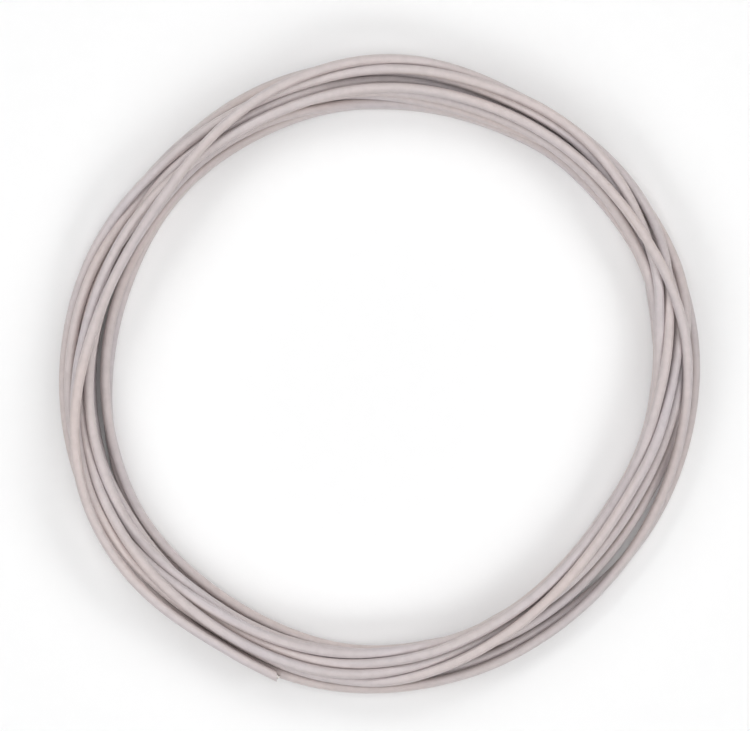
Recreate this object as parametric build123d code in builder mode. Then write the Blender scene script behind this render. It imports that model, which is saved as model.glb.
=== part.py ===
"""Stranded hook-up wire, wound into a loose round coil that lies flat on a table.

Sizes are millimetres and angles are degrees. +Z is up, and the coil lies on Z = 0 about the origin.
"""
import math
import os

import numpy as np
from build123d import *

# The conductor: six strands laid tight round one, so it is three strands across
strand_diameter = 0.32
strands_across = 3

# The insulation over it
bore_clearance = 0.01
insulation_wall = 0.51

# How the coil lies
turn_clearance = 0.08
settle_step = 2.0
route_step = 6.0
arc_share = 0.45

conductor_diameter = strands_across * strand_diameter
bore_diameter = conductor_diameter + 2 * bore_clearance
wire_diameter = bore_diameter + 2 * insulation_wall

# Each row is one turn, from the cut end that shows to the one that is buried: the angle clockwise
# from the top of the view, the radius of the wire's line there, and how high it lies among the
# turns it crosses, where a larger number is nearer the top.
lanes = (
    ((198.5, 64.06, 14), (208, 63.12, 14), (213, 63.10, 14), (218, 63.40, 14), (226, 64.30, 14),
     (233, 64.64, 14), (240, 64.56, 14), (245, 64.26, 14), (250, 63.76, 14), (255, 63.00, 14),
     (262, 61.70, 14), (270, 59.60, 14), (275, 58.40, 14), (280, 57.40, 14), (285, 56.74, 14),
     (295, 55.60, 14), (300, 55.34, 14), (304, 55.26, 14), (308, 55.34, 14), (311, 55.54, 14),
     (318, 56.60, 14), (334, 59.56, 14), (346, 61.40, 14), (357, 62.82, 14), (362, 63.12, 12.5),
     (366, 63.18, 10), (370, 63.00, 10), (380, 62.10, 10), (385, 61.80, 10), (390, 61.74, 10),
     (400, 62.20, 10), (404, 62.56, 10), (412, 63.00, 10), (420, 63.14, 10), (427, 62.10, 10),
     (431, 61.10, 10), (436, 59.70, 10), (440, 58.46, 10), (445, 57.20, 11), (450, 56.10, 11),
     (453, 55.54, 11), (456, 55.14, 11), (467, 54.40, 11), (478, 53.20, 11), (484, 53.00, 11),
     (492, 53.10, 11), (498, 53.40, 11), (518, 54.90, 11), (525, 55.70, 11), (538, 57.80, 11),
     (544, 58.40, 11), (550, 58.80, 11), (556, 58.90, 10)),
    ((200, 58.80, 9), (210, 58.74, 9), (216, 58.90, 9), (222, 59.20, 9), (240, 59.90, 6), (250, 60.20, 5),
     (262, 60.50, 5), (280, 60.60, 5), (290, 60.60, 5), (300, 60.70, 6), (306, 60.74, 7.2),
     (312, 60.84, 7.2), (327, 60.80, 8), (332, 61.00, 8), (337, 61.60, 8), (345, 61.80, 8),
     (352, 61.70, 6), (360, 61.40, 5), (380, 61.00, 5), (390, 61.20, 5), (400, 61.60, 6), (420, 62.80, 8),
     (427, 63.26, 9), (430, 63.30, 9), (437, 62.36, 9), (447, 60.60, 9), (460, 58.74, 9), (469, 57.30, 9),
     (475, 56.76, 9), (484, 56.20, 9), (490, 56.10, 8), (496, 55.94, 8), (503, 55.94, 8), (510, 56.30, 8),
     (517, 56.80, 8), (523, 57.34, 8), (530, 58.40, 9), (537, 59.46, 11.5), (544, 60.30, 13),
     (550, 60.60, 13), (556, 60.68, 13)),
    ((200, 60.66, 13), (217, 60.10, 13), (225, 60.26, 13), (235, 60.66, 13), (244, 60.80, 12),
     (250, 60.84, 10), (260, 60.30, 8), (265, 60.00, 8), (270, 60.00, 9), (280, 59.86, 9), (292, 59.50, 9),
     (300, 59.10, 9), (315, 58.10, 9), (333, 57.60, 9), (340, 57.60, 9), (346, 58.10, 9), (353, 58.96, 9),
     (360, 59.12, 9), (370, 58.80, 8), (380, 58.54, 8), (390, 58.60, 8), (400, 58.20, 7), (410, 58.00, 5),
     (420, 57.80, 4), (430, 57.60, 4), (450, 56.00, 4), (460, 55.50, 4), (480, 55.00, 4), (490, 54.60, 4),
     (500, 54.30, 5), (510, 54.30, 6), (518, 54.60, 7), (525, 55.06, 8), (532, 55.40, 9), (544, 56.60, 9),
     (550, 57.06, 10), (556, 57.20, 10)),
    ((200, 57.20, 10), (210, 57.26, 10), (215, 57.60, 10), (222, 58.34, 10), (228, 59.30, 9.3),
     (233, 60.30, 9), (240, 61.40, 9), (250, 62.40, 9), (256, 62.76, 10), (262, 62.80, 11),
     (280, 61.70, 11), (290, 61.20, 11), (296, 60.60, 10.5), (300, 60.00, 9.8), (304, 59.74, 8.2),
     (318, 59.10, 7), (330, 59.00, 7), (340, 59.30, 8), (360, 60.80, 10), (365, 60.80, 10),
     (375, 60.10, 10), (380, 60.20, 10), (388, 60.70, 10), (395, 61.00, 10), (405, 61.06, 10),
     (410, 60.30, 10), (420, 58.60, 7), (425, 57.90, 6.5), (440, 56.60, 5), (450, 55.80, 3),
     (460, 55.20, 3), (470, 54.40, 3), (480, 54.00, 3), (490, 53.90, 3), (500, 54.10, 3), (510, 54.50, 3),
     (530, 55.60, 5), (540, 56.10, 6), (545, 56.40, 7), (550, 56.50, 7), (556, 56.80, 7)),
    ((200, 56.74, 7), (205, 56.66, 7), (210, 56.70, 7), (218, 57.20, 8.5), (226, 58.00, 8.5),
     (232, 58.80, 8.6), (238, 59.30, 8.8), (244, 59.38, 11), (262, 58.94, 11), (270, 58.54, 11),
     (277, 57.90, 11), (284, 57.20, 10), (290, 56.70, 8), (300, 56.30, 6), (320, 55.90, 6),
     (330, 55.70, 6), (342, 55.70, 6), (348, 54.80, 6), (352, 54.40, 6), (360, 54.12, 6), (370, 54.30, 5),
     (385, 54.76, 5), (390, 55.20, 5), (400, 56.60, 3), (405, 57.00, 3), (412, 57.20, 3), (420, 57.30, 3),
     (430, 57.20, 3), (440, 56.50, 3), (450, 55.80, 2), (460, 55.40, 2), (470, 54.80, 2), (480, 54.40, 2),
     (490, 54.40, 2), (500, 54.60, 2), (510, 55.00, 2), (520, 55.80, 2), (530, 56.60, 3), (540, 57.60, 3),
     (550, 58.20, 3), (556, 58.40, 3)),
    ((200, 58.40, 3), (210, 58.00, 3), (220, 58.10, 3), (240, 59.80, 3), (250, 60.20, 3), (262, 60.00, 3),
     (270, 59.60, 3), (280, 58.60, 4), (290, 57.80, 5), (310, 57.10, 7), (320, 56.90, 7), (330, 56.80, 8),
     (340, 56.70, 8), (350, 56.80, 8), (356, 56.70, 8), (370, 56.10, 8), (380, 56.00, 8), (390, 56.50, 8),
     (396, 57.00, 8), (400, 57.10, 8), (417, 57.00, 8), (425, 57.10, 7.5), (435, 56.80, 6.5),
     (440, 56.40, 6), (448, 55.60, 6), (452, 55.30, 6), (457, 55.00, 5), (465, 54.60, 5), (475, 54.20, 4),
     (485, 54.20, 3), (495, 54.80, 2), (505, 55.80, 2), (525, 58.60, 2), (535, 60.00, 2), (545, 60.80, 2),
     (556, 61.20, 2)),
    ((200, 61.30, 2), (210, 61.40, 2), (230, 62.20, 2), (240, 62.40, 2), (250, 62.20, 2), (270, 61.60, 2),
     (280, 61.40, 2), (290, 61.00, 2), (310, 59.80, 2), (320, 59.60, 2), (330, 59.60, 2), (340, 59.80, 2),
     (350, 60.40, 2), (360, 61.20, 2), (370, 61.60, 2), (380, 61.20, 3), (390, 60.80, 3), (400, 60.80, 3),
     (410, 61.40, 3), (420, 62.20, 4), (430, 62.40, 5), (435, 61.90, 7), (438, 61.10, 10),
     (441, 60.30, 12), (445, 59.30, 12), (450, 58.20, 12), (460, 56.50, 12), (472, 54.86, 12),
     (476, 54.46, 12), (480, 54.26, 12), (490, 54.50, 12), (496, 55.00, 12), (517, 57.90, 12),
     (530, 60.20, 12), (537, 61.30, 12), (550, 61.84, 12), (556, 61.86, 10)),
    ((200, 61.70, 8), (205, 61.30, 6), (210, 60.80, 6), (215, 60.54, 6), (222, 60.90, 9), (226, 61.20, 10),
     (232, 61.80, 11), (237, 62.30, 11.5), (244, 62.60, 12), (250, 62.60, 12), (253, 62.46, 13),
     (260, 61.74, 13), (273, 60.10, 13), (278, 59.34, 13), (284, 58.74, 13), (300, 58.20, 13),
     (307, 57.40, 13), (316, 56.60, 13), (326, 56.06, 13), (340, 55.80, 11), (346, 56.20, 11),
     (353, 56.90, 11), (360, 57.14, 11), (370, 57.26, 12), (380, 57.36, 12), (390, 57.80, 12),
     (400, 58.20, 13), (410, 58.40, 13), (422, 58.90, 13), (426, 59.26, 13), (433, 60.30, 13),
     (444, 61.30, 13), (454, 61.46, 13), (465, 61.40, 13), (475, 61.46, 13), (484, 61.66, 13),
     (492, 61.70, 13), (510, 62.14, 13), (520, 62.60, 13), (530, 62.74, 12.5), (537, 63.10, 11),
     (550, 63.60, 9), (556, 63.64, 8)),
    ((200, 63.20, 7), (202, 62.90, 7), (205, 62.66, 7), (213, 62.46, 7), (220, 62.70, 7), (226, 63.04, 7),
     (230, 63.40, 7), (240, 63.84, 7), (246, 63.98, 8), (260, 63.84, 10), (280, 63.12, 10),
     (290, 62.70, 9.5), (300, 61.76, 9.5), (304, 61.28, 12), (312, 60.20, 12), (318, 59.70, 12),
     (323, 59.40, 12), (336, 59.06, 12), (340, 59.16, 12), (346, 59.60, 12), (352, 60.34, 12),
     (360, 61.00, 12), (365, 61.24, 12), (370, 61.16, 12), (375, 60.76, 12), (380, 60.84, 12),
     (388, 61.60, 12), (395, 62.08, 12), (400, 62.22, 12), (404, 62.14, 12), (410, 61.54, 12),
     (417, 60.60, 12), (420, 60.06, 12), (424, 59.34, 11), (435, 57.60, 9), (445, 56.26, 9),
     (450, 55.70, 8), (457, 55.20, 6), (465, 54.60, 5), (475, 54.10, 5), (485, 53.90, 5), (495, 54.10, 4),
     (505, 54.40, 4), (515, 54.70, 3), (535, 55.40, 3), (545, 55.70, 3), (551, 55.60, 3), (556, 55.30, 3)),
    ((200, 55.00, 2), (210, 54.66, 2), (216, 54.64, 2), (220, 54.76, 2), (232, 55.62, 2), (240, 55.96, 2),
     (260, 55.40, 2), (268, 55.40, 2), (274, 55.40, 2.5), (279, 55.14, 3), (284, 54.84, 3),
     (290, 55.10, 3), (295, 55.46, 3), (311, 55.60, 3), (317, 55.20, 3), (327, 54.86, 3), (340, 54.06, 3),
     (350, 54.26, 3), (360, 54.40, 2), (370, 54.50, 2), (380, 54.80, 2), (390, 55.40, 1), (400, 56.20, 1),
     (410, 56.20, 1), (415, 56.50, 1), (420, 57.00, 1), (430, 57.20, 1), (440, 56.80, 1), (450, 56.20, 1),
     (470, 55.80, 1), (480, 56.00, 1), (490, 56.80, 1), (510, 59.20, 1), (520, 60.40, 1), (530, 61.40, 1),
     (540, 62.00, 1), (550, 62.20, 1), (556, 62.20, 1)),
    ((200, 62.20, 1), (220, 61.40, 1), (240, 61.80, 1), (260, 62.20, 1), (270, 62.40, 1), (280, 62.40, 1),
     (290, 62.00, 1), (300, 61.20, 2), (308, 60.80, 3), (315, 60.76, 3), (322, 61.00, 4), (335, 62.08, 4),
     (340, 62.40, 4), (344, 62.46, 4), (350, 62.10, 3), (360, 61.70, 2), (380, 61.40, 2), (390, 61.40, 2),
     (400, 61.80, 3), (410, 62.40, 3), (427, 63.00, 3), (433, 63.46, 4), (446, 63.84, 4), (452, 63.60, 4),
     (460, 63.00, 4), (478, 62.54, 4), (484, 62.24, 4), (490, 61.66, 4), (495, 61.06, 4), (500, 60.54, 5),
     (510, 60.40, 5), (518, 60.74, 5), (532, 61.60, 3), (540, 61.70, 2), (550, 61.40, 1), (556, 60.60, 1)),
    ((200, 60.10, 1), (210, 59.60, 1), (220, 59.40, 1), (230, 59.40, 1), (250, 59.90, 1), (262, 60.20, 1),
     (280, 60.00, 1), (300, 59.00, 1), (320, 58.20, 1), (340, 58.20, 1), (360, 58.60, 1), (380, 59.40, 1),
     (400, 60.20, 2), (410, 60.80, 2), (420, 61.40, 3), (430, 61.50, 4), (440, 61.40, 5), (447, 61.30, 6),
     (454, 61.04, 7), (460, 60.60, 8), (465, 60.14, 8), (469, 59.54, 8), (475, 58.86, 8), (484, 58.34, 8),
     (490, 58.10, 8), (510, 58.40, 8), (517, 58.40, 7), (525, 58.20, 6), (535, 57.80, 5), (545, 57.60, 4),
     (556, 57.80, 2)),
    ((200, 57.80, 2), (210, 57.80, 2), (220, 58.10, 2), (230, 59.20, 2), (240, 59.80, 2), (250, 60.00, 2),
     (270, 59.10, 2), (280, 58.00, 3), (290, 57.20, 4), (300, 56.80, 4), (320, 56.40, 5), (330, 56.40, 5),
     (340, 56.50, 5.5), (350, 56.40, 6.5), (354, 55.90, 7), (360, 55.30, 7), (370, 54.84, 7),
     (380, 54.78, 7), (385, 55.20, 6), (396, 56.60, 4), (402, 57.20, 3), (410, 57.60, 3), (420, 57.60, 2),
     (430, 57.20, 2), (440, 56.20, 2), (450, 55.50, 2), (470, 55.00, 2), (480, 55.20, 2), (490, 55.80, 2),
     (500, 56.60, 2), (510, 57.20, 2), (520, 57.20, 2), (530, 56.80, 2), (540, 56.60, 2), (550, 56.60, 2),
     (556, 56.60, 1)),
    ((200, 56.60, 1), (210, 56.50, 1), (218, 56.90, 1), (232, 57.80, 1), (238, 57.80, 1), (242, 57.60, 1),
     (246, 57.10, 1), (252, 56.20, 1), (258, 55.60, 1), (266, 55.06, 1), (274, 54.40, 1), (290, 53.52, 1),
     (296, 53.80, 1), (302, 54.20, 1), (308, 54.40, 1), (330, 54.00, 1), (335, 53.94, 1), (350, 54.40, 1),
     (360, 54.60, 1), (380, 55.80, 1), (400, 57.00, 1), (414.5, 57.60, 1)),
)

# The layer from which the eye can follow a turn, so that it keeps to its lane and gives way less
seen_layer = 5
hold_seen = 0.35
hold_hidden = 0.10
hold_closing = 0.03
give_seen = 0.4
fall = 0.01
bend_level = 0.15
bend_upright = 0.35
push_share = 0.35
least_rise = 0.35
settling_rounds = 500
closing_rounds = 400


def smoothed(values, width=3):
    """Average the values with a bell of the given width, the ends held."""
    bell = np.hanning(width + 2)[1:-1]
    return np.convolve(np.pad(values, width // 2, mode="edge"), bell / bell.sum(), mode="valid")


def straightened(values, share):
    """Move each value a share of the way to the middle of its neighbours, as a stiff wire does."""
    bent = values.copy()
    bent[1:-1] += share * (0.5 * (values[2:] + values[:-2]) - values[1:-1])
    return bent


def settled_turns():
    """Let the turns sink onto each other, a wire's width apart, and give angle, radius and height."""
    keys = np.array([(angle + 360 * turn, radius, layer)
                     for turn, row in enumerate(lanes) for angle, radius, layer in row])
    count = int((keys[-1, 0] - keys[0, 0]) / settle_step + 1e-6) + 1
    angles = keys[0, 0] + settle_step * np.arange(count)
    lane = smoothed(np.interp(angles, keys[:, 0], keys[:, 1]))
    layer = np.interp(angles, keys[:, 0], keys[:, 2])
    per_turn = round(360 / settle_step)
    turns = math.ceil(count / per_turn)

    def by_turn(values):
        return np.append(values, np.zeros(turns * per_turn - count)).reshape(turns, per_turn)

    def between(values):
        table = by_turn(values)
        return table[:, None, :] - table[None, :, :]

    live = by_turn(np.ones(count))
    pair = live[:, None, :] * live[None, :, :] * (1 - np.eye(turns))[:, :, None] > 0
    above = np.sign(between(layer) + 1e-3 * (np.arange(turns)[:, None] - np.arange(turns))[:, :, None])
    pitch = wire_diameter + turn_clearance
    radius = lane.copy()
    height = wire_diameter / 2 + 0.12 * layer
    seen = layer >= seen_layer
    hold = np.where(seen, hold_seen, hold_hidden)
    give = np.where(seen, give_seen, 1.0)
    # No turn leaves the coil's outline, which is the least and the greatest lane at its angle
    inside = np.tile(np.where(live > 0, by_turn(lane), np.inf).min(axis=0), turns)[:count]
    outside = np.tile(by_turn(lane).max(axis=0), turns)[:count]
    for round_number in range(settling_rounds + closing_rounds):
        closing = round_number >= settling_rounds
        height -= 0 if closing else fall
        radius += hold * (hold_closing if closing else 1.0) * (lane - radius)
        radius = straightened(radius, bend_level)
        height = straightened(height, bend_upright)
        for _ in range(3):
            side = between(radius)
            rise = above * np.maximum(above * between(height), least_rise * pitch)
            apart = np.maximum(np.hypot(side, rise), 1e-6)
            reach = (side * side + between(height) * rise) / apart
            lap = np.where(pair & (np.abs(side) < pitch), np.maximum(pitch - reach, 0), 0)
            radius += give * push_share / 2 * (lap * side / apart).sum(axis=1).ravel()[:count]
            height += push_share / 2 * (lap * rise / apart).sum(axis=1).ravel()[:count]
            radius = np.clip(radius, inside, outside)
            height = np.maximum(height, wire_diameter / 2)
    return angles, radius, height


def route_points():
    """Give the points of the wire's line, the coil centred on the origin and lying on Z = 0."""
    angles, radius, height = settled_turns()
    every = round(route_step / settle_step)
    turn = np.radians(angles[::every])
    points = np.column_stack((radius[::every] * np.sin(turn), radius[::every] * np.cos(turn), height[::every]))
    low, high = points.min(axis=0), points.max(axis=0)
    points[:, :2] -= (low[:2] + high[:2]) / 2
    points[:, 2] -= low[2] - wire_diameter / 2
    return points


def rounded_route(points):
    """Join straight runs between the points by tangent arcs, and print the arcs' radii."""
    runs = np.diff(points, axis=0)
    lengths = np.linalg.norm(runs, axis=1)
    ways = runs / lengths[:, None]
    reach = arc_share * np.minimum(lengths[:-1], lengths[1:])[:, None]
    bisector = ways[1:] - ways[:-1]
    spread = np.linalg.norm(bisector, axis=1)[:, None]
    half_turn = np.arcsin(spread / 2)
    radii = reach / np.tan(half_turn)
    starts = points[1:-1] - ways[:-1] * reach
    ends = points[1:-1] + ways[1:] * reach
    middles = points[1:-1] + bisector / spread * radii * (1 / np.cos(half_turn) - 1)
    stops = np.vstack((starts[1:], points[-1:]))
    edges = [Edge.make_line(Vector(*points[0]), Vector(*starts[0]))]
    for start, middle, end, stop in zip(starts, middles, ends, stops):
        edges.append(Edge.make_three_point_arc(Vector(*start), Vector(*middle), Vector(*end)))
        edges.append(Edge.make_line(Vector(*end), Vector(*stop)))
    print(f"arc radii {radii.min():.1f} to {radii.max():.0f} mm")
    return Wire(edges), Plane(origin=Vector(*points[0]), z_dir=Vector(*ways[0]))


def swept_rod(route, start, radius):
    """Sweep a round rod along the route."""
    with BuildPart() as rod:
        with BuildSketch(start):
            Circle(radius)
        sweep(path=route)
    return rod.part


def make_insulation(route, start):
    """Join the walls of a rod and of its bore by a ring at each cut end, which makes a closed tube."""
    outer = swept_rod(route, start, wire_diameter / 2).faces()
    bore = swept_rod(route, start, bore_diameter / 2).faces()
    walls = [face for face in outer + bore if face.geom_type != GeomType.PLANE]
    discs = outer.filter_by(GeomType.PLANE).sort_by(Axis.X)
    holes = bore.filter_by(GeomType.PLANE).sort_by(Axis.X)
    rings = [Face(disc.outer_wire(), [hole.outer_wire()]) for disc, hole in zip(discs, holes)]
    return Solid(Shell(walls + rings))


def make_conductor(route, start):
    """Sweep the conductor, its laid strands taken together as one round core."""
    return swept_rod(route, start, conductor_diameter / 2)


points = route_points()
route, start = rounded_route(points)
insulation = make_insulation(route, start)
conductor = make_conductor(route, start)
insulation.label = "insulation"
conductor.label = "conductor"

os.makedirs("parts", exist_ok=True)
export_step(insulation, "parts/insulation.step")
export_step(conductor, "parts/conductor.step")

plastic_section = math.pi / 4 * (wire_diameter ** 2 - bore_diameter ** 2)
core_section = math.pi / 4 * conductor_diameter ** 2
print(f"wire {route.length:.0f} mm long, {wire_diameter:.3f} mm across")
print(f"insulation {insulation.volume:.1f} mm3, section times length {plastic_section * route.length:.1f}")
print(f"conductor {conductor.volume:.1f} mm3, section times length {core_section * route.length:.1f}")
print("free end", np.round(points[0], 3), "next", np.round(points[1], 3))
print("buried end", np.round(points[-1], 3), "before it", np.round(points[-2], 3))
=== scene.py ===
"""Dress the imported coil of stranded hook-up wire and light it as a product shot from straight above.

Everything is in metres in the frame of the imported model, apart from the lanes of the coil and the
settling of its turns, which are in millimetres and degrees as they are in the part's source.
"""

import logging
import math
from dataclasses import dataclass
from enum import Enum
from typing import Optional

import bpy
import numpy as np
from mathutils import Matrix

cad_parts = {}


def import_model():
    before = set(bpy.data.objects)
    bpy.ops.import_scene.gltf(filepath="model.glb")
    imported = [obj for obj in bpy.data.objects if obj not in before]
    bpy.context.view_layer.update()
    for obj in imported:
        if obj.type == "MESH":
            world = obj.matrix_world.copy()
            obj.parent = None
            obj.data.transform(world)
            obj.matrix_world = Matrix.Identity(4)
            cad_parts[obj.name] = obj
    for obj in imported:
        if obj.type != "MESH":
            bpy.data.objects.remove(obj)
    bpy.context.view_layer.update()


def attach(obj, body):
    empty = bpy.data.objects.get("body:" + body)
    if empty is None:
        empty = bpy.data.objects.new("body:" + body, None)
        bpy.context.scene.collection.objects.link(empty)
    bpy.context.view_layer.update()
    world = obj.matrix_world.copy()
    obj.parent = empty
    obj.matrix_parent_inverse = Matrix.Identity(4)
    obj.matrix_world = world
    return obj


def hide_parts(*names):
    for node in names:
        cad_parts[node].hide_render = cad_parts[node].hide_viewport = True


LOG = logging.getLogger("coil")
MM = 0.001

STRAND_DIAMETER = 0.32
STRANDS_ACROSS = 3
BORE_CLEARANCE = 0.01
INSULATION_WALL = 0.51
CONDUCTOR_DIAMETER = STRANDS_ACROSS * STRAND_DIAMETER
BORE_DIAMETER = CONDUCTOR_DIAMETER + 2 * BORE_CLEARANCE
WIRE_DIAMETER = BORE_DIAMETER + 2 * INSULATION_WALL

# The photograph's frame, and how much of the object one of its pixels spans
PHOTO_WIDTH_PX = 750
PHOTO_HEIGHT_PX = 731
COIL_MIDDLE_PX = (380.5, 373.5)
MM_PER_PIXEL = 0.2

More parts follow.
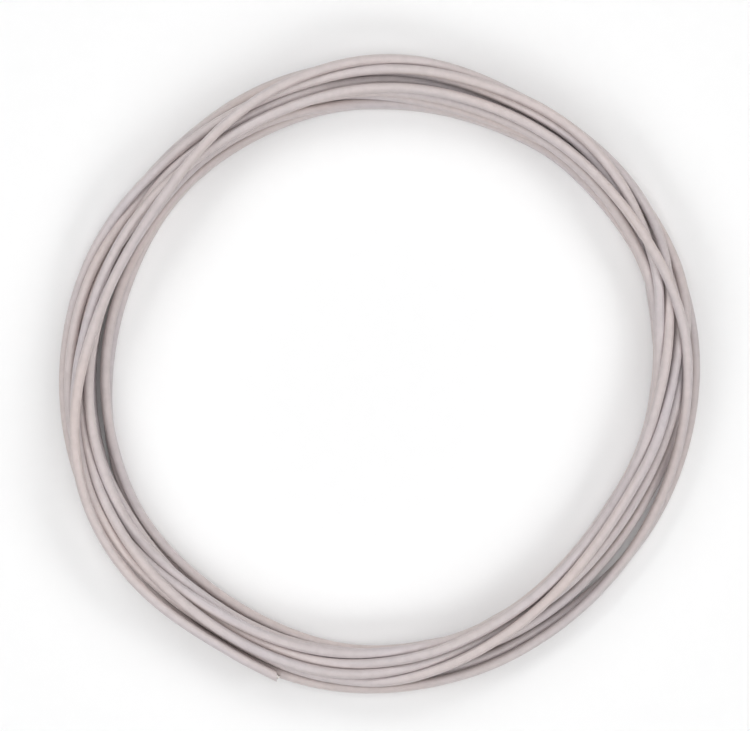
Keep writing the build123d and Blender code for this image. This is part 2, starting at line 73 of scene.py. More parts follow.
# Each row is one turn, from the cut end that shows to the one that is buried: the angle clockwise
# from the top of the view, the radius of the wire's line there, and how high it lies among the
# turns it crosses, where a larger number is nearer the top.
LANES = (
    ((198.5, 64.06, 14), (208, 63.12, 14), (213, 63.10, 14), (218, 63.40, 14), (226, 64.30, 14),
     (233, 64.64, 14), (240, 64.56, 14), (245, 64.26, 14), (250, 63.76, 14), (255, 63.00, 14),
     (262, 61.70, 14), (270, 59.60, 14), (275, 58.40, 14), (280, 57.40, 14), (285, 56.74, 14),
     (295, 55.60, 14), (300, 55.34, 14), (304, 55.26, 14), (308, 55.34, 14), (311, 55.54, 14),
     (318, 56.60, 14), (334, 59.56, 14), (346, 61.40, 14), (357, 62.82, 14), (362, 63.12, 12.5),
     (366, 63.18, 10), (370, 63.00, 10), (380, 62.10, 10), (385, 61.80, 10), (390, 61.74, 10),
     (400, 62.20, 10), (404, 62.56, 10), (412, 63.00, 10), (420, 63.14, 10), (427, 62.10, 10),
     (431, 61.10, 10), (436, 59.70, 10), (440, 58.46, 10), (445, 57.20, 11), (450, 56.10, 11),
     (453, 55.54, 11), (456, 55.14, 11), (467, 54.40, 11), (478, 53.20, 11), (484, 53.00, 11),
     (492, 53.10, 11), (498, 53.40, 11), (518, 54.90, 11), (525, 55.70, 11), (538, 57.80, 11),
     (544, 58.40, 11), (550, 58.80, 11), (556, 58.90, 10)),
    ((200, 58.80, 9), (210, 58.74, 9), (216, 58.90, 9), (222, 59.20, 9), (240, 59.90, 6), (250, 60.20, 5),
     (262, 60.50, 5), (280, 60.60, 5), (290, 60.60, 5), (300, 60.70, 6), (306, 60.74, 7.2),
     (312, 60.84, 7.2), (327, 60.80, 8), (332, 61.00, 8), (337, 61.60, 8), (345, 61.80, 8),
     (352, 61.70, 6), (360, 61.40, 5), (380, 61.00, 5), (390, 61.20, 5), (400, 61.60, 6), (420, 62.80, 8),
     (427, 63.26, 9), (430, 63.30, 9), (437, 62.36, 9), (447, 60.60, 9), (460, 58.74, 9), (469, 57.30, 9),
     (475, 56.76, 9), (484, 56.20, 9), (490, 56.10, 8), (496, 55.94, 8), (503, 55.94, 8), (510, 56.30, 8),
     (517, 56.80, 8), (523, 57.34, 8), (530, 58.40, 9), (537, 59.46, 11.5), (544, 60.30, 13),
     (550, 60.60, 13), (556, 60.68, 13)),
    ((200, 60.66, 13), (217, 60.10, 13), (225, 60.26, 13), (235, 60.66, 13), (244, 60.80, 12),
     (250, 60.84, 10), (260, 60.30, 8), (265, 60.00, 8), (270, 60.00, 9), (280, 59.86, 9), (292, 59.50, 9),
     (300, 59.10, 9), (315, 58.10, 9), (333, 57.60, 9), (340, 57.60, 9), (346, 58.10, 9), (353, 58.96, 9),
     (360, 59.12, 9), (370, 58.80, 8), (380, 58.54, 8), (390, 58.60, 8), (400, 58.20, 7), (410, 58.00, 5),
     (420, 57.80, 4), (430, 57.60, 4), (450, 56.00, 4), (460, 55.50, 4), (480, 55.00, 4), (490, 54.60, 4),
     (500, 54.30, 5), (510, 54.30, 6), (518, 54.60, 7), (525, 55.06, 8), (532, 55.40, 9), (544, 56.60, 9),
     (550, 57.06, 10), (556, 57.20, 10)),
    ((200, 57.20, 10), (210, 57.26, 10), (215, 57.60, 10), (222, 58.34, 10), (228, 59.30, 9.3),
     (233, 60.30, 9), (240, 61.40, 9), (250, 62.40, 9), (256, 62.76, 10), (262, 62.80, 11),
     (280, 61.70, 11), (290, 61.20, 11), (296, 60.60, 10.5), (300, 60.00, 9.8), (304, 59.74, 8.2),
     (318, 59.10, 7), (330, 59.00, 7), (340, 59.30, 8), (360, 60.80, 10), (365, 60.80, 10),
     (375, 60.10, 10), (380, 60.20, 10), (388, 60.70, 10), (395, 61.00, 10), (405, 61.06, 10),
     (410, 60.30, 10), (420, 58.60, 7), (425, 57.90, 6.5), (440, 56.60, 5), (450, 55.80, 3),
     (460, 55.20, 3), (470, 54.40, 3), (480, 54.00, 3), (490, 53.90, 3), (500, 54.10, 3), (510, 54.50, 3),
     (530, 55.60, 5), (540, 56.10, 6), (545, 56.40, 7), (550, 56.50, 7), (556, 56.80, 7)),
    ((200, 56.74, 7), (205, 56.66, 7), (210, 56.70, 7), (218, 57.20, 8.5), (226, 58.00, 8.5),
     (232, 58.80, 8.6), (238, 59.30, 8.8), (244, 59.38, 11), (262, 58.94, 11), (270, 58.54, 11),
     (277, 57.90, 11), (284, 57.20, 10), (290, 56.70, 8), (300, 56.30, 6), (320, 55.90, 6),
     (330, 55.70, 6), (342, 55.70, 6), (348, 54.80, 6), (352, 54.40, 6), (360, 54.12, 6), (370, 54.30, 5),
     (385, 54.76, 5), (390, 55.20, 5), (400, 56.60, 3), (405, 57.00, 3), (412, 57.20, 3), (420, 57.30, 3),
     (430, 57.20, 3), (440, 56.50, 3), (450, 55.80, 2), (460, 55.40, 2), (470, 54.80, 2), (480, 54.40, 2),
     (490, 54.40, 2), (500, 54.60, 2), (510, 55.00, 2), (520, 55.80, 2), (530, 56.60, 3), (540, 57.60, 3),
     (550, 58.20, 3), (556, 58.40, 3)),
    ((200, 58.40, 3), (210, 58.00, 3), (220, 58.10, 3), (240, 59.80, 3), (250, 60.20, 3), (262, 60.00, 3),
     (270, 59.60, 3), (280, 58.60, 4), (290, 57.80, 5), (310, 57.10, 7), (320, 56.90, 7), (330, 56.80, 8),
     (340, 56.70, 8), (350, 56.80, 8), (356, 56.70, 8), (370, 56.10, 8), (380, 56.00, 8), (390, 56.50, 8),
     (396, 57.00, 8), (400, 57.10, 8), (417, 57.00, 8), (425, 57.10, 7.5), (435, 56.80, 6.5),
     (440, 56.40, 6), (448, 55.60, 6), (452, 55.30, 6), (457, 55.00, 5), (465, 54.60, 5), (475, 54.20, 4),
     (485, 54.20, 3), (495, 54.80, 2), (505, 55.80, 2), (525, 58.60, 2), (535, 60.00, 2), (545, 60.80, 2),
     (556, 61.20, 2)),
    ((200, 61.30, 2), (210, 61.40, 2), (230, 62.20, 2), (240, 62.40, 2), (250, 62.20, 2), (270, 61.60, 2),
     (280, 61.40, 2), (290, 61.00, 2), (310, 59.80, 2), (320, 59.60, 2), (330, 59.60, 2), (340, 59.80, 2),
     (350, 60.40, 2), (360, 61.20, 2), (370, 61.60, 2), (380, 61.20, 3), (390, 60.80, 3), (400, 60.80, 3),
     (410, 61.40, 3), (420, 62.20, 4), (430, 62.40, 5), (435, 61.90, 7), (438, 61.10, 10),
     (441, 60.30, 12), (445, 59.30, 12), (450, 58.20, 12), (460, 56.50, 12), (472, 54.86, 12),
     (476, 54.46, 12), (480, 54.26, 12), (490, 54.50, 12), (496, 55.00, 12), (517, 57.90, 12),
     (530, 60.20, 12), (537, 61.30, 12), (550, 61.84, 12), (556, 61.86, 10)),
    ((200, 61.70, 8), (205, 61.30, 6), (210, 60.80, 6), (215, 60.54, 6), (222, 60.90, 9), (226, 61.20, 10),
     (232, 61.80, 11), (237, 62.30, 11.5), (244, 62.60, 12), (250, 62.60, 12), (253, 62.46, 13),
     (260, 61.74, 13), (273, 60.10, 13), (278, 59.34, 13), (284, 58.74, 13), (300, 58.20, 13),
     (307, 57.40, 13), (316, 56.60, 13), (326, 56.06, 13), (340, 55.80, 11), (346, 56.20, 11),
     (353, 56.90, 11), (360, 57.14, 11), (370, 57.26, 12), (380, 57.36, 12), (390, 57.80, 12),
     (400, 58.20, 13), (410, 58.40, 13), (422, 58.90, 13), (426, 59.26, 13), (433, 60.30, 13),
     (444, 61.30, 13), (454, 61.46, 13), (465, 61.40, 13), (475, 61.46, 13), (484, 61.66, 13),
     (492, 61.70, 13), (510, 62.14, 13), (520, 62.60, 13), (530, 62.74, 12.5), (537, 63.10, 11),
     (550, 63.60, 9), (556, 63.64, 8)),
    ((200, 63.20, 7), (202, 62.90, 7), (205, 62.66, 7), (213, 62.46, 7), (220, 62.70, 7), (226, 63.04, 7),
     (230, 63.40, 7), (240, 63.84, 7), (246, 63.98, 8), (260, 63.84, 10), (280, 63.12, 10),
     (290, 62.70, 9.5), (300, 61.76, 9.5), (304, 61.28, 12), (312, 60.20, 12), (318, 59.70, 12),
     (323, 59.40, 12), (336, 59.06, 12), (340, 59.16, 12), (346, 59.60, 12), (352, 60.34, 12),
     (360, 61.00, 12), (365, 61.24, 12), (370, 61.16, 12), (375, 60.76, 12), (380, 60.84, 12),
     (388, 61.60, 12), (395, 62.08, 12), (400, 62.22, 12), (404, 62.14, 12), (410, 61.54, 12),
     (417, 60.60, 12), (420, 60.06, 12), (424, 59.34, 11), (435, 57.60, 9), (445, 56.26, 9),
     (450, 55.70, 8), (457, 55.20, 6), (465, 54.60, 5), (475, 54.10, 5), (485, 53.90, 5), (495, 54.10, 4),
     (505, 54.40, 4), (515, 54.70, 3), (535, 55.40, 3), (545, 55.70, 3), (551, 55.60, 3), (556, 55.30, 3)),
    ((200, 55.00, 2), (210, 54.66, 2), (216, 54.64, 2), (220, 54.76, 2), (232, 55.62, 2), (240, 55.96, 2),
     (260, 55.40, 2), (268, 55.40, 2), (274, 55.40, 2.5), (279, 55.14, 3), (284, 54.84, 3),
     (290, 55.10, 3), (295, 55.46, 3), (311, 55.60, 3), (317, 55.20, 3), (327, 54.86, 3), (340, 54.06, 3),
     (350, 54.26, 3), (360, 54.40, 2), (370, 54.50, 2), (380, 54.80, 2), (390, 55.40, 1), (400, 56.20, 1),
     (410, 56.20, 1), (415, 56.50, 1), (420, 57.00, 1), (430, 57.20, 1), (440, 56.80, 1), (450, 56.20, 1),
     (470, 55.80, 1), (480, 56.00, 1), (490, 56.80, 1), (510, 59.20, 1), (520, 60.40, 1), (530, 61.40, 1),
     (540, 62.00, 1), (550, 62.20, 1), (556, 62.20, 1)),
    ((200, 62.20, 1), (220, 61.40, 1), (240, 61.80, 1), (260, 62.20, 1), (270, 62.40, 1), (280, 62.40, 1),
     (290, 62.00, 1), (300, 61.20, 2), (308, 60.80, 3), (315, 60.76, 3), (322, 61.00, 4), (335, 62.08, 4),
     (340, 62.40, 4), (344, 62.46, 4), (350, 62.10, 3), (360, 61.70, 2), (380, 61.40, 2), (390, 61.40, 2),
     (400, 61.80, 3), (410, 62.40, 3), (427, 63.00, 3), (433, 63.46, 4), (446, 63.84, 4), (452, 63.60, 4),
     (460, 63.00, 4), (478, 62.54, 4), (484, 62.24, 4), (490, 61.66, 4), (495, 61.06, 4), (500, 60.54, 5),
     (510, 60.40, 5), (518, 60.74, 5), (532, 61.60, 3), (540, 61.70, 2), (550, 61.40, 1), (556, 60.60, 1)),
    ((200, 60.10, 1), (210, 59.60, 1), (220, 59.40, 1), (230, 59.40, 1), (250, 59.90, 1), (262, 60.20, 1),
     (280, 60.00, 1), (300, 59.00, 1), (320, 58.20, 1), (340, 58.20, 1), (360, 58.60, 1), (380, 59.40, 1),
     (400, 60.20, 2), (410, 60.80, 2), (420, 61.40, 3), (430, 61.50, 4), (440, 61.40, 5), (447, 61.30, 6),
     (454, 61.04, 7), (460, 60.60, 8), (465, 60.14, 8), (469, 59.54, 8), (475, 58.86, 8), (484, 58.34, 8),
     (490, 58.10, 8), (510, 58.40, 8), (517, 58.40, 7), (525, 58.20, 6), (535, 57.80, 5), (545, 57.60, 4),
     (556, 57.80, 2)),
    ((200, 57.80, 2), (210, 57.80, 2), (220, 58.10, 2), (230, 59.20, 2), (240, 59.80, 2), (250, 60.00, 2),
     (270, 59.10, 2), (280, 58.00, 3), (290, 57.20, 4), (300, 56.80, 4), (320, 56.40, 5), (330, 56.40, 5),
     (340, 56.50, 5.5), (350, 56.40, 6.5), (354, 55.90, 7), (360, 55.30, 7), (370, 54.84, 7),
     (380, 54.78, 7), (385, 55.20, 6), (396, 56.60, 4), (402, 57.20, 3), (410, 57.60, 3), (420, 57.60, 2),
     (430, 57.20, 2), (440, 56.20, 2), (450, 55.50, 2), (470, 55.00, 2), (480, 55.20, 2), (490, 55.80, 2),
     (500, 56.60, 2), (510, 57.20, 2), (520, 57.20, 2), (530, 56.80, 2), (540, 56.60, 2), (550, 56.60, 2),
     (556, 56.60, 1)),
    ((200, 56.60, 1), (210, 56.50, 1), (218, 56.90, 1), (232, 57.80, 1), (238, 57.80, 1), (242, 57.60, 1),
     (246, 57.10, 1), (252, 56.20, 1), (258, 55.60, 1), (266, 55.06, 1), (274, 54.40, 1), (290, 53.52, 1),
     (296, 53.80, 1), (302, 54.20, 1), (308, 54.40, 1), (330, 54.00, 1), (335, 53.94, 1), (350, 54.40, 1),
     (360, 54.60, 1), (380, 55.80, 1), (400, 57.00, 1), (414.5, 57.60, 1)),
)


class Slot(Enum):
    """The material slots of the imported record."""

    INSULATION = "insulation"
    COPPER = "copper"


class Sides(Enum):
    """How many sides each kind of tube has round it."""

    INSULATION = 18
    STRAND = 14


@dataclass(frozen=True)
class Settling:
    """How the turns of the coil sink onto each other.

    Each turn starts over its lane at a height that follows its layer. In every round it falls a
    little, is drawn back to its lane, is straightened as a stiff wire straightens itself, and is
    pushed away from each turn that it laps until the two lie one pitch apart. No turn leaves the
    coil's outline, which is the least and the greatest lane at its angle.
    """

    turn_clearance: float = 0.08
    step: float = 2.0
    route_step: float = 6.0
    seen_layer: float = 5
    hold_seen: float = 0.35
    hold_hidden: float = 0.10
    hold_closing: float = 0.03
    give_seen: float = 0.4
    fall: float = 0.01
    bend_level: float = 0.15
    bend_upright: float = 0.35
    push_share: float = 0.35
    least_rise: float = 0.35
    rounds: int = 500
    closing_rounds: int = 400

    def smoothed(self, values: np.ndarray, width: int = 3) -> np.ndarray:
        """Average the values with a bell of the given width, the ends held.

        Args:
            values: one value for each step along the wire.
            width: the bell's width in steps.

        Returns:
            The averaged values, as many as came in.
        """
        bell = np.hanning(width + 2)[1:-1]
        padded = np.pad(values, width // 2, mode="edge")
        return np.convolve(padded, bell / bell.sum(), mode="valid")

    def straightened(self, values: np.ndarray, share: float) -> np.ndarray:
        """Move each value a share of the way to the middle of its neighbours.

        Args:
            values: one value for each step along the wire.
            share: how far each moves, from 0 to 1.

        Returns:
            The moved values.
        """
        bent = values.copy()
        bent[1:-1] += share * (0.5 * (values[2:] + values[:-2]) - values[1:-1])
        return bent

    def turns(self) -> tuple[np.ndarray, np.ndarray, np.ndarray]:
        """Settle the turns.

        Returns:
            The angle, the radius and the height of the wire's line at each step.
        """
        keys = np.array([(angle + 360 * turn, radius, layer)
                         for turn, row in enumerate(LANES) for angle, radius, layer in row])
        count = int((keys[-1, 0] - keys[0, 0]) / self.step + 1e-6) + 1
        angles = keys[0, 0] + self.step * np.arange(count)
        lane = self.smoothed(np.interp(angles, keys[:, 0], keys[:, 1]))
        layer = np.interp(angles, keys[:, 0], keys[:, 2])
        per_turn = round(360 / self.step)
        turns = math.ceil(count / per_turn)

        def by_turn(values: np.ndarray) -> np.ndarray:
            return np.append(values, np.zeros(turns * per_turn - count)).reshape(turns, per_turn)

        def between(values: np.ndarray) -> np.ndarray:
            table = by_turn(values)
            return table[:, None, :] - table[None, :, :]

        live = by_turn(np.ones(count))
        pair = live[:, None, :] * live[None, :, :] * (1 - np.eye(turns))[:, :, None] > 0
        order = np.arange(turns)[:, None] - np.arange(turns)
        above = np.sign(between(layer) + 1e-3 * order[:, :, None])
        pitch = WIRE_DIAMETER + self.turn_clearance
        radius = lane.copy()
        height = WIRE_DIAMETER / 2 + 0.12 * layer
        seen = layer >= self.seen_layer
        hold = np.where(seen, self.hold_seen, self.hold_hidden)
        give = np.where(seen, self.give_seen, 1.0)
        inside = np.tile(np.where(live > 0, by_turn(lane), np.inf).min(axis=0), turns)[:count]
        outside = np.tile(by_turn(lane).max(axis=0), turns)[:count]
        for round_number in range(self.rounds + self.closing_rounds):
            closing = round_number >= self.rounds
            height -= 0 if closing else self.fall
            radius += hold * (self.hold_closing if closing else 1.0) * (lane - radius)
            radius = self.straightened(radius, self.bend_level)
            height = self.straightened(height, self.bend_upright)
            for _ in range(3):
                side = between(radius)
                rise = above * np.maximum(above * between(height), self.least_rise * pitch)
                apart = np.maximum(np.hypot(side, rise), 1e-6)
                reach = (side * side + between(height) * rise) / apart
                lap = np.where(pair & (np.abs(side) < pitch), np.maximum(pitch - reach, 0), 0)
                push = self.push_share / 2
                radius += give * push * (lap * side / apart).sum(axis=1).ravel()[:count]
                height += push * (lap * rise / apart).sum(axis=1).ravel()[:count]
                radius = np.clip(radius, inside, outside)
                height = np.maximum(height, WIRE_DIAMETER / 2)
        return angles, radius, height

    def route(self) -> tuple[np.ndarray, np.ndarray]:
        """Give the points of the wire's line in metres, centred on the origin and lying on Z = 0.

        Returns:
            An array of points, one in each row, and the middle of the lanes' own frame that was
            moved to the origin.
        """
        angles, radius, height = self.turns()
        every = round(self.route_step / self.step)
        turn = np.radians(angles[::every])
        across = radius[::every] * np.sin(turn)
        up = radius[::every] * np.cos(turn)
        points = np.column_stack((across, up, height[::every]))
        low, high = points.min(axis=0), points.max(axis=0)
        middle = (low[:2] + high[:2]) / 2
        points[:, :2] -= middle
        points[:, 2] -= low[2] - WIRE_DIAMETER / 2
        return points * MM, middle * MM


@dataclass(frozen=True)
class RouteLine:
    """The smooth line that the wire follows: a quadratic NURBS spline through its control points."""

    control: np.ndarray
    steps_per_run: int = 4

    def points(self) -> np.ndarray:
        """Read the spline's own points.

        Returns:
            The points of the line in metres, in order from the end that shows.
        """
        curve = bpy.data.curves.new("wire_route", "CURVE")
        curve.dimensions = "3D"
        curve.resolution_u = self.steps_per_run
        spline = curve.splines.new("NURBS")
        spline.points.add(len(self.control) - 1)
        weighted = np.column_stack((self.control, np.ones(len(self.control))))
        spline.points.foreach_set("co", weighted.ravel())
        spline.order_u = 3
        spline.use_endpoint_u = True
        holder = bpy.data.objects.new("wire_route", curve)
        mesh = bpy.data.meshes.new_from_object(holder)
        flat = np.empty(3 * len(mesh.vertices))
        mesh.vertices.foreach_get("co", flat)
        bpy.data.objects.remove(holder)
        bpy.data.curves.remove(curve)
        bpy.data.meshes.remove(mesh)
        return flat.reshape(-1, 3)


def carried_frames(line: np.ndarray) -> tuple[np.ndarray, np.ndarray, np.ndarray]:
    """Give each point of a line its direction and two directions square to it.

    The side direction is the level direction square to the line, which never fails here because
    the wire never stands upright, and the lift direction completes the three.

    Args:
        line: points in order.

    Returns:
        Three arrays of unit vectors: along the line, to its side, and lifted from it.
    """
    along = np.gradient(line, axis=0)
    along /= np.linalg.norm(along, axis=1)[:, None]
    side = np.cross(np.array([0.0, 0.0, 1.0]), along)
    side /= np.linalg.norm(side, axis=1)[:, None]
    return along, side, np.cross(along, side)


def distance_along(line: np.ndarray) -> np.ndarray:
    """Give the distance from the first point to each point, along the line.

    Args:
        line: points in order.

    Returns:
        One distance for each point, from zero.
    """
    return np.append(0.0, np.cumsum(np.linalg.norm(np.diff(line, axis=0), axis=1)))


@dataclass
class RingSurface:
    """A closed surface made of rings of points, each joined to the next."""

    name: str
    rings: np.ndarray
    along: np.ndarray
    closes_on_itself: bool = False

    def make(self, material: bpy.types.Material, smooth: Optional[np.ndarray] = None) -> bpy.types.Object:
        """Build the mesh: quads between neighbouring rings, and an end face where it isn't a loop.

        The rings' points run round the surface, and each point keeps its distance along the wire
        and its turn round it in the attribute "wire".

        Args:
            material: the finish.
            smooth: for each gap between rings, whether it is smooth, where not all of them are.

        Returns:
            The new object, linked to the scene.
        """
        count, sides, _ = self.rings.shape
        index = np.arange(count * sides).reshape(count, sides)
        ahead = np.roll(index, -1, axis=1)
        if self.closes_on_itself:
            above = np.roll(index, -1, axis=0)
            quads = np.stack((index, ahead, np.roll(ahead, -1, axis=0), above), axis=-1)
            walls = quads.reshape(-1, 4)
        else:
            walls = np.stack((index[:-1], ahead[:-1], ahead[1:], index[1:]), axis=-1).reshape(-1, 4)
        ends = [] if self.closes_on_itself else [index[0][::-1], index[-1]]
        loops = np.concatenate([walls.ravel(), *ends]) if ends else walls.ravel()
        sizes = np.concatenate((np.full(len(walls), 4), [len(end) for end in ends])).astype(int)
        starts = np.concatenate(([0], np.cumsum(sizes)[:-1]))
        mesh = bpy.data.meshes.new(self.name)
        mesh.vertices.add(count * sides)
        mesh.vertices.foreach_set("co", self.rings.ravel())
        mesh.loops.add(len(loops))
        mesh.loops.foreach_set("vertex_index", loops.astype(np.int32))
        mesh.polygons.add(len(sizes))
        mesh.polygons.foreach_set("loop_start", starts.astype(np.int32))
        shade = np.ones(len(sizes), dtype=bool)
        if smooth is not None:
            shade[:len(walls)] = np.repeat(smooth, sides)
        if ends:
            shade[len(walls):] = False
        mesh.polygons.foreach_set("use_smooth", shade)
        mesh.update(calc_edges=True)
        turn = np.broadcast_to(np.arange(sides) / sides, (count, sides))
        far = np.broadcast_to(self.along[:, None], (count, sides))
        wire = np.stack((far, np.cos(2 * math.pi * turn), np.sin(2 * math.pi * turn)), axis=-1)
        mesh.attributes.new("wire", "FLOAT_VECTOR", "POINT").data.foreach_set("vector", wire.ravel())
        mesh.materials.append(material)
        mesh.validate()
        made = bpy.data.objects.new(self.name, mesh)
        bpy.context.scene.collection.objects.link(made)
        return made


@dataclass(frozen=True)
class Shader:
    """A small helper that adds nodes to one material and links them."""

    material: bpy.types.Material

    @classmethod
    def named(cls, name: str) -> "Shader":
        """Start a material.

        Args:
            name: the material's name.

        Returns:
            A helper for the new material.
        """
        material = bpy.data.materials.new(name)
        material.use_nodes = True
        return cls(material)

    def surface(self) -> bpy.types.Node:
        """Give the material's own surface shader."""
        return self.material.node_tree.nodes["Principled BSDF"]

    def add(self, kind: str, inputs: Optional[dict] = None, **settings) -> bpy.types.Node:
        """Add a node.

        Args:
            kind: the node's type name without its common prefix.
            inputs: for each input, a value or the output that feeds it.
            settings: the node's own properties.

        Returns:
            The new node.
        """
        node = self.material.node_tree.nodes.new("ShaderNode" + kind)
        for key, value in settings.items():
            setattr(node, key, value)
        for key, value in (inputs or {}).items():
            self.feed(node.inputs[key], value)
        return node

    def feed(self, socket: bpy.types.NodeSocket, value) -> None:
        """Set an input to a value, or link an output to it.

        Args:
            socket: the input.
            value: a plain value, or an output socket.
        """
        if isinstance(value, bpy.types.NodeSocket):
            self.material.node_tree.links.new(value, socket)
        else:
            socket.default_value = value

    def blend(self, factor, first, second, mode: str = "MIX") -> bpy.types.NodeSocket:
        """Mix two colours.

        Args:
            factor: how much of the second, a value or an output.
            first: the first colour, a value or an output.
            second: the second colour, a value or an output.
            mode: how they mix.

        Returns:
            The mixed colour's output.
        """
        mixer = self.add("Mix", data_type="RGBA", blend_type=mode)
        self.feed(mixer.inputs[0], factor)
        self.feed(mixer.inputs[6], first)
        self.feed(mixer.inputs[7], second)
        return mixer.outputs[2]


@dataclass(frozen=True)
class SoftPvc:
    """Matt extruded PVC: faint warm and cool drifts along the wire, a waxy sheen and a fine ripple."""

    base: tuple[float, float, float, float] = (0.595, 0.528, 0.522, 1.0)
    warm: tuple[float, float, float, float] = (0.622, 0.535, 0.515, 1.0)
    cool: tuple[float, float, float, float] = (0.560, 0.510, 0.525, 1.0)
    roughness: float = 0.38
    ripple_height: float = 0.000035
    grain_height: float = 0.000010
    cloud_scale: float = 620.0
    scuff_scale: float = 1900.0
    grain_scale: float = 5200.0
    specular: float = 0.55
    subsurface: float = 0.06

    def material(self) -> bpy.types.Material:
        """Make the material.

        Returns:
            The finished material.
        """
        shader = Shader.named("soft_grey_pvc")
        wire = shader.add("Attribute", attribute_name="wire", attribute_type="GEOMETRY").outputs["Vector"]
        place = shader.add("TexCoord").outputs["Object"]
        stretched = shader.add("Mapping", {"Vector": wire, "Scale": (22.0, 0.18, 0.18)}).outputs[0]
        drift = shader.add("TexNoise", {"Vector": stretched, "Scale": 1.0, "Detail": 2.0}).outputs[0]
        to_warm = shader.add("MapRange", {"Value": drift, 1: 0.50, 2: 0.68}).outputs[0]
        to_cool = shader.add("MapRange", {"Value": drift, 1: 0.50, 2: 0.32}).outputs[0]
        tint = shader.blend(to_warm, self.base, self.warm)
        tint = shader.blend(to_cool, tint, self.cool)
        patch = shader.add("TexNoise", {"Vector": place, "Scale": self.cloud_scale, "Detail": 3.0}).outputs[0]
        cloud = shader.add("MapRange", {"Value": patch, 1: 0.35, 2: 0.65, 3: 0.955, 4: 1.03}).outputs[0]
        cloud_colour = shader.add("CombineColor", {0: cloud, 1: cloud, 2: cloud}).outputs[0]
        tint = shader.blend(1.0, tint, cloud_colour, "MULTIPLY")
        surface = shader.surface()
        shader.feed(surface.inputs["Base Color"], tint)
        scuff = shader.add("TexNoise", {"Vector": place, "Scale": self.scuff_scale, "Detail": 4.0}).outputs[0]
        worn = shader.add("MapRange", {"Value": scuff, 3: self.roughness - 0.06, 4: self.roughness + 0.08})
        shader.feed(surface.inputs["Roughness"], worn.outputs[0])
        waves = shader.add("Mapping", {"Vector": wire, "Scale": (420.0, 0.9, 0.9)}).outputs[0]
        ripple = shader.add("TexNoise", {"Vector": waves, "Scale": 1.0, "Detail": 2.0}).outputs[0]
        grain = shader.add("TexNoise", {"Vector": place, "Scale": self.grain_scale, "Detail": 3.0}).outputs[0]
        low = shader.add("Bump", {"Height": ripple, "Distance": self.ripple_height, "Strength": 0.6})
        high = shader.add("Bump", {"Height": grain, "Distance": self.grain_height, "Strength": 0.5,
                                   "Normal": low.outputs[0]})
        shader.feed(surface.inputs["Normal"], high.outputs[0])
        surface.inputs["Specular IOR Level"].default_value = self.specular
        surface.inputs["Subsurface Weight"].default_value = self.subsurface
        surface.inputs["Subsurface Radius"].default_value = (0.0012, 0.0010, 0.0009)
        surface.inputs["Subsurface Scale"].default_value = 0.4
        return shader.material


@dataclass(frozen=True)
class TinnedCopper:
    """Drawn copper strand with a thin dull coat of tin and fine drawing lines along it."""

    tin: tuple[float, float, float, float] = (0.66, 0.645, 0.62, 1.0)
    bare: tuple[float, float, float, float] = (0.62, 0.36, 0.24, 1.0)
    roughness: float = 0.34

    def material(self) -> bpy.types.Material:
        """Make the material.

        Returns:
            The finished material.
        """
        shader = Shader.named("tinned_copper")
        place = shader.add("TexCoord").outputs["Object"]
        spots = shader.add("TexNoise", {"Vector": place, "Scale": 2600.0, "Detail": 3.0}).outputs[0]
        thin = shader.add("MapRange", {"Value": spots, 1: 0.56, 2: 0.74}).outputs[0]
        surface = shader.surface()
        shader.feed(surface.inputs["Base Color"], shader.blend(thin, self.tin, self.bare))
        rub = shader.add("MapRange", {"Value": spots, 3: self.roughness - 0.08, 4: self.roughness + 0.12})
        shader.feed(surface.inputs["Roughness"], rub.outputs[0])
        lines = shader.add("TexNoise", {"Vector": place, "Scale": 9000.0, "Detail": 2.0}).outputs[0]
        bump = shader.add("Bump", {"Height": lines, "Distance": 0.000004, "Strength": 0.4})
        shader.feed(surface.inputs["Normal"], bump.outputs[0])
        surface.inputs["Metallic"].default_value = 1.0
        return shader.material


@dataclass(frozen=True)
class PaleTable:
    """The seamless white surface under the coil."""

    colour: tuple[float, float, float, float] = (0.93, 0.93, 0.93, 1.0)
    half_width: float = 0.9
    fleck_scale: float = 300.0
    fleck_low: float = 0.985
    roughness: float = 0.8
    specular: float = 0.2

    def make(self) -> None:
        """Build the table."""
        shader = Shader.named("pale_table")
        place = shader.add("TexCoord").outputs["Object"]
        fleck = shader.add("TexNoise", {"Vector": place, "Scale": self.fleck_scale}).outputs[0]
        shade = shader.add("MapRange", {"Value": fleck, 3: self.fleck_low, 4: 1.0}).outputs[0]
        shade_colour = shader.add("CombineColor", {0: shade, 1: shade, 2: shade}).outputs[0]
        surface = shader.surface()
        shader.feed(surface.inputs["Base Color"], shader.blend(1.0, self.colour, shade_colour, "MULTIPLY"))
        surface.inputs["Roughness"].default_value = self.roughness
        surface.inputs["Specular IOR Level"].default_value = self.specular
        reach = self.half_width
        corners = [(-reach, -reach, 0), (reach, -reach, 0), (reach, reach, 0), (-reach, reach, 0)]
        mesh = bpy.data.meshes.new("table")
        mesh.from_pydata(corners, [], [(0, 1, 2, 3)])
        mesh.materials.append(shader.material)
        table = bpy.data.objects.new("table", mesh)
        bpy.context.scene.collection.objects.link(table)


@dataclass(frozen=True)
class Softbox:
    """One soft light: a rectangle that shines at the coil."""

    name: str
    place: tuple[float, float, float]
    size: tuple[float, float]
    watts: float
    colour: tuple[float, float, float] = (1.0, 1.0, 1.0)

    def make(self) -> None:
        """Build the light."""
        light = bpy.data.lights.new(self.name, "AREA")
        light.shape = "RECTANGLE"
        light.size, light.size_y = self.size
        light.energy = self.watts
        light.color = self.colour
        holder = bpy.data.objects.new(self.name, light)
        holder.location = self.place
        x, y, z = self.place
        flat = math.hypot(x, y)
        holder.rotation_euler = (math.atan2(flat, z), 0.0, math.atan2(x, -y) if flat else 0.0)
        bpy.context.scene.collection.objects.link(holder)


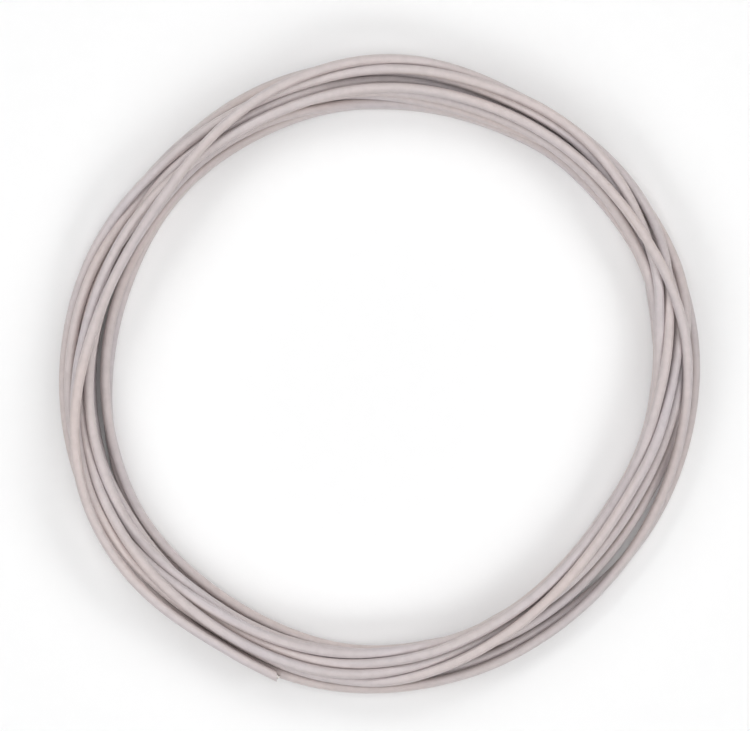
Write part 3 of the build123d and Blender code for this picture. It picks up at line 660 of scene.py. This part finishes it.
@dataclass(frozen=True)
class Studio:
    """The table, a ring of soft boxes round the coil and the grey air above it.

    The boxes stand low enough that the grooves between the turns stay dark, as they do in the
    photograph, while the crown of every turn is lit from all round.
    """

    air: float = 0.06
    ring_count: int = 6
    ring_radius: float = 0.46
    ring_height: float = 0.40
    ring_size: tuple[float, float] = (0.26, 0.26)
    ring_watts: float = 0.82
    top_watts: float = 1.25

    def make(self) -> None:
        """Build the studio."""
        world = bpy.data.worlds.new("studio")
        world.use_nodes = True
        background = world.node_tree.nodes["Background"]
        background.inputs["Color"].default_value = (1.0, 1.0, 1.0, 1.0)
        background.inputs["Strength"].default_value = self.air
        bpy.context.scene.world = world
        PaleTable().make()
        Softbox("top_box", (0.0, 0.0, 0.8), (0.4, 0.4), self.top_watts).make()
        for number in range(self.ring_count):
            turn = 2 * math.pi * (number + 0.5) / self.ring_count
            place = (self.ring_radius * math.sin(turn), self.ring_radius * math.cos(turn), self.ring_height)
            Softbox(f"ring_box_{number + 1}", place, self.ring_size, self.ring_watts).make()


@dataclass(frozen=True)
class OverheadCamera:
    """A long lens that looks straight down, framed as the photograph is."""

    middle: np.ndarray
    height: float = 0.80
    focus_height: float = 0.0055
    sensor: float = 36.0

    def make(self) -> None:
        """Build the camera and make it the scene's own."""
        view_width = PHOTO_WIDTH_PX * MM_PER_PIXEL * MM
        lens = self.sensor * (self.height - self.focus_height) / view_width
        data = bpy.data.cameras.new("overhead")
        data.sensor_width = self.sensor
        data.sensor_fit = "HORIZONTAL"
        data.lens = lens
        data.clip_start = 0.01
        camera = bpy.data.objects.new("overhead", data)
        left = (PHOTO_WIDTH_PX / 2 - COIL_MIDDLE_PX[0]) * MM_PER_PIXEL * MM
        down = (COIL_MIDDLE_PX[1] - PHOTO_HEIGHT_PX / 2) * MM_PER_PIXEL * MM
        camera.location = (left - self.middle[0], down - self.middle[1], self.height)
        bpy.context.scene.collection.objects.link(camera)
        bpy.context.scene.camera = camera


@dataclass
class Insulation:
    """The PVC tube over the whole length, with a cut face and a bore at each end.

    The near face can be cut aslant, which leaves the side away from the coil's middle the longest.
    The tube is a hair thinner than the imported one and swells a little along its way, so that it
    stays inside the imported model's box.

    The surface is one loop of rings: the outer wall from end to end, then back in at the far end
    and a short way up the bore, a floor there, and the same at the near end.
    """

    line: np.ndarray
    finish: bpy.types.Material
    slant: float = 0.0
    bore_depth: float = 0.9 * MM
    edge: float = 0.06 * MM
    mean_swell: float = 0.990
    swell_height: float = 0.004
    swell_waves: tuple[float, float] = (930.0, 211.0)

    def profile(self) -> list[tuple[int, float, float]]:
        """List the rings of the near end: point, offset along the line and radius."""
        outer = WIRE_DIAMETER / 2 * MM
        bore = BORE_DIAMETER / 2 * MM
        return [(0, self.bore_depth, bore), (0, self.edge / 3, bore), (0, 0.0, bore + self.edge / 3),
                (0, 0.0, outer - self.edge), (0, self.edge * 0.3, outer - self.edge * 0.3),
                (0, self.edge, outer)]

    def make(self) -> bpy.types.Object:
        """Build the tube.

        Returns:
            The tube's object.
        """
        along, side, lift = carried_frames(self.line)
        far = distance_along(self.line)
        sides = Sides.INSULATION.value
        turn = 2 * math.pi * np.arange(sides) / sides
        near = self.profile()
        points = [0] * len(near) + list(range(1, len(self.line) - 1)) + [-1] * len(near)
        shifts = [shift for _, shift, _ in near] + [0.0] * (len(self.line) - 2)
        shifts += [-shift for _, shift, _ in reversed(near)]
        radii = [radius for _, _, radius in near] + [WIRE_DIAMETER / 2 * MM] * (len(self.line) - 2)
        radii += [radius for _, _, radius in reversed(near)]
        index = np.array(points)
        centre = self.line[index] + along[index] * np.array(shifts)[:, None]
        quick, slow = self.swell_waves
        swell = self.mean_swell + self.swell_height * np.sin(far[index] * quick) * np.sin(far[index] * slow)
        radius = np.array(radii) * swell
        ring = np.cos(turn)[None, :, None] * side[index][:, None, :]
        ring = ring + np.sin(turn)[None, :, None] * lift[index][:, None, :]
        rings = centre[:, None, :] + radius[:, None, None] * ring
        cut = np.arange(len(index)) < len(near)
        cut[0] = False
        inward = WIRE_DIAMETER / 2 * MM - np.array(radii)[:, None] * np.cos(turn)[None, :]
        recede = self.slant * cut[:, None] * inward
        rings = rings + recede[:, :, None] * along[index][:, None, :]
        return RingSurface("pvc_insulation", rings, far[index]).make(self.finish)


@dataclass
class StrandEnds:
    """The seven laid strands where they show at a cut end, the outer six twisted round the middle one."""

    line: np.ndarray
    finish: bpy.types.Material
    name: str
    slant: float = 0.0
    length: float = 3.0 * MM
    proud: float = 0.07 * MM
    lay: float = 12.0 * MM
    rings: int = 12
    fit: float = 0.985
    tip: float = 0.86

    def make(self) -> list[bpy.types.Object]:
        """Build the strands at the first end of the line.

        Returns:
            One object for each strand.
        """
        along, side, lift = (vectors[0] for vectors in carried_frames(self.line))
        travel = np.linspace(self.length, -self.proud, self.rings)
        sides = Sides.STRAND.value
        turn = 2 * math.pi * np.arange(sides) / sides
        radius = STRAND_DIAMETER / 2 * MM * self.fit
        made = []
        for number in range(2 * STRANDS_ACROSS + 1):
            middle = number == 2 * STRANDS_ACROSS
            spin = 2 * math.pi * (number / (2 * STRANDS_ACROSS) + travel / self.lay)
            pitch = 0.0 if middle else STRAND_DIAMETER * MM
            out = pitch * math.cos(spin[-1])
            start = self.slant * (WIRE_DIAMETER / 2 * MM - out)
            run = start + travel * (1 - start / self.length)
            centre = self.line[0] + run[:, None] * along
            centre = centre + pitch * (np.cos(spin)[:, None] * side + np.sin(spin)[:, None] * lift)
            taper = np.where(np.arange(self.rings) == self.rings - 1, self.tip, 1.0) * radius
            ring = np.cos(turn)[:, None] * side + np.sin(turn)[:, None] * lift
            rings = centre[:, None, :] + taper[:, None, None] * ring[None, :, :]
            surface = RingSurface(f"{self.name}_strand_{number + 1}", rings[::-1], travel[::-1])
            made.append(surface.make(self.finish))
        return made


@dataclass
class Wire:
    """The whole wire: its line, its insulation and the strands at its two cut ends."""

    control: np.ndarray
    slant: float = 0.45
    body: str = "root"

    def make(self) -> None:
        line = RouteLine(self.control).points()
        length = float(distance_along(line)[-1])
        LOG.info("wire %.3f m long in %d rings", length, len(line))
        pvc = SoftPvc().material()
        tin = TinnedCopper().material()
        tube = Insulation(line, pvc, slant=self.slant).make()
        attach(tube, self.body)
        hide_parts("insulation")
        ends = StrandEnds(line, tin, "free_end", slant=self.slant).make()
        ends += StrandEnds(line[::-1], tin, "buried_end").make()
        for strand in ends:
            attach(strand, self.body)
        core = bpy.data.objects["conductor"]
        for place in core.material_slots:
            place.material = tin


def main() -> None:
    """Build the scene in order."""
    logging.basicConfig(level=logging.INFO)
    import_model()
    bpy.context.scene.view_settings.view_transform = "Standard"
    control, middle = Settling().route()
    OverheadCamera(middle).make()
    Wire(control).make()
    Studio().make()


if __name__ == "__main__":
    main()
